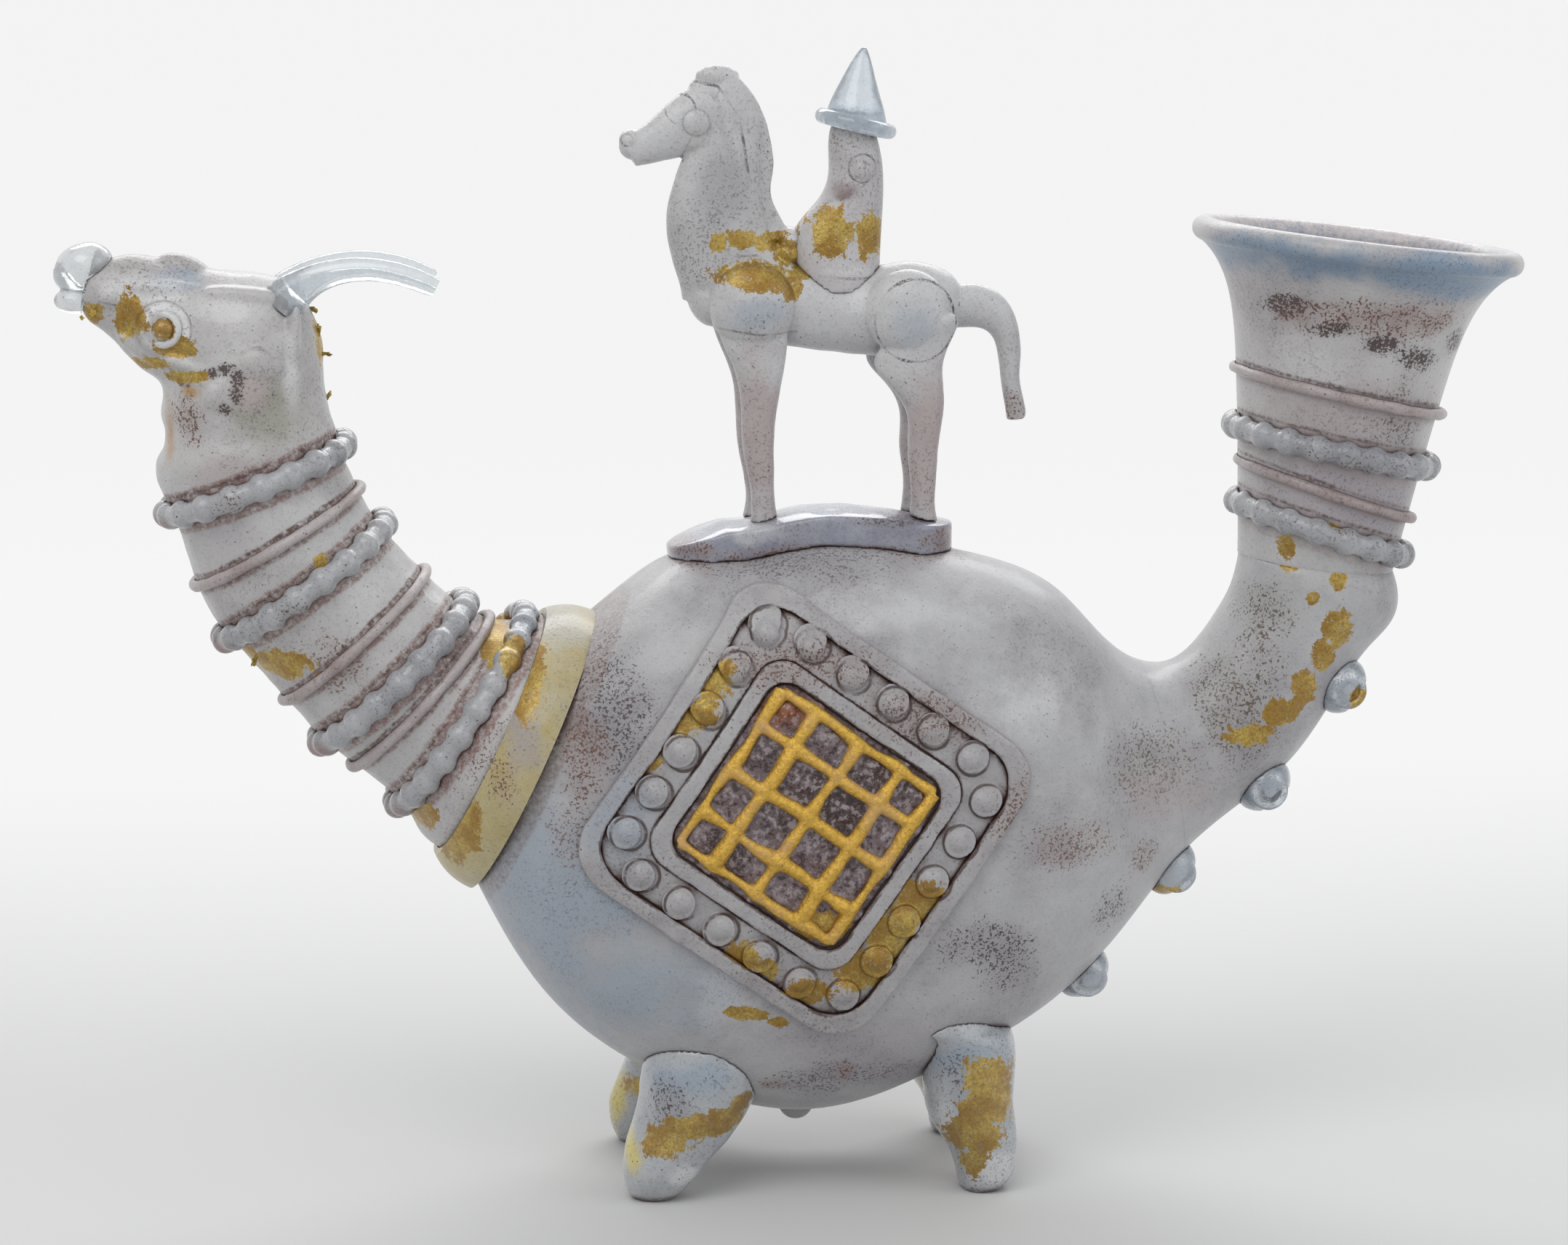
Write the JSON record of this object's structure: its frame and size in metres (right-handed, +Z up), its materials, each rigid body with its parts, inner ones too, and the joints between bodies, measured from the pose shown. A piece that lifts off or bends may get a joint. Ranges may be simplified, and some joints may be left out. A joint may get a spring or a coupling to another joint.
{
  "type": "rhyton drinking cup",
  "caption": "Hollow glass rhyton: flared filling mouth, bull-head spout with horns, ringed neck, relief panel, horse and rider on the back, stub feet.",
  "frame": {"origin": "middle of the whole part's bounding box, on the table", "axes": "+X from the animal head towards the filling mouth, +Z up, the relief panel faces -Y"},
  "size_m": [0.3998, 0.1008, 0.3107],
  "materials": {
    "frosted_glass": "acid-etched, with pigment stains",
    "clear_glass": "fire-polished clear glass",
    "figure_glass": "etched, faintly coloured",
    "gilt_band": "gold leaf under etched glass"
  },
  "bodies": {
    "root": {"body_back": "frosted_glass", "body_front": "frosted_glass", "body_tail": "frosted_glass", "foot_front_far": "frosted_glass", "foot_front_near": "frosted_glass", "foot_rear_far": "frosted_glass", "foot_rear_near": "frosted_glass", "funnel_beads_lower": "clear_glass", "funnel_beads_upper": "clear_glass", "funnel_thread_lower": "frosted_glass", "funnel_thread_upper": "frosted_glass", "head_eye_far": "clear_glass", "head_eye_near": "clear_glass", "head_forelock": "frosted_glass", "head_horn_far": "clear_glass", "head_horn_near": "clear_glass", "head_lower_lip": "clear_glass", "head_skull": "frosted_glass", "head_upper_lip": "clear_glass", "horse_barrel": "figure_glass", "horse_eye_far": "clear_glass", "horse_eye_near": "clear_glass", "horse_foreleg_far": "figure_glass", "horse_foreleg_near": "figure_glass", "horse_head": "figure_glass", "horse_hindleg_far": "figure_glass", "horse_hindleg_near": "figure_glass", "horse_mane": "figure_glass", "horse_neck": "figure_glass", "horse_tail": "figure_glass", "mouth_funnel": "frosted_glass", "neck_beads_1": "clear_glass", "neck_beads_2": "clear_glass", "neck_beads_3": "clear_glass", "neck_beads_4": "clear_glass", "neck_collar": "gilt_band", "neck_thread_1": "frosted_glass", "neck_thread_2": "frosted_glass", "neck_thread_3": "frosted_glass", "neck_tube": "frosted_glass", "panel_bead_lane": "clear_glass", "panel_frame": "frosted_glass", "panel_inlay": "frosted_glass", "panel_inner_frame": "frosted_glass", "plinth": "figure_glass", "pontil_nub": "frosted_glass", "rider_arm_far": "figure_glass", "rider_arm_near": "figure_glass", "rider_brim": "clear_glass", "rider_hat": "clear_glass", "rider_torso": "figure_glass", "tail_prunt_1": "clear_glass", "tail_prunt_2": "clear_glass", "tail_prunt_3": "clear_glass", "tail_prunt_4": "clear_glass"}
  },
  "joints": []
}
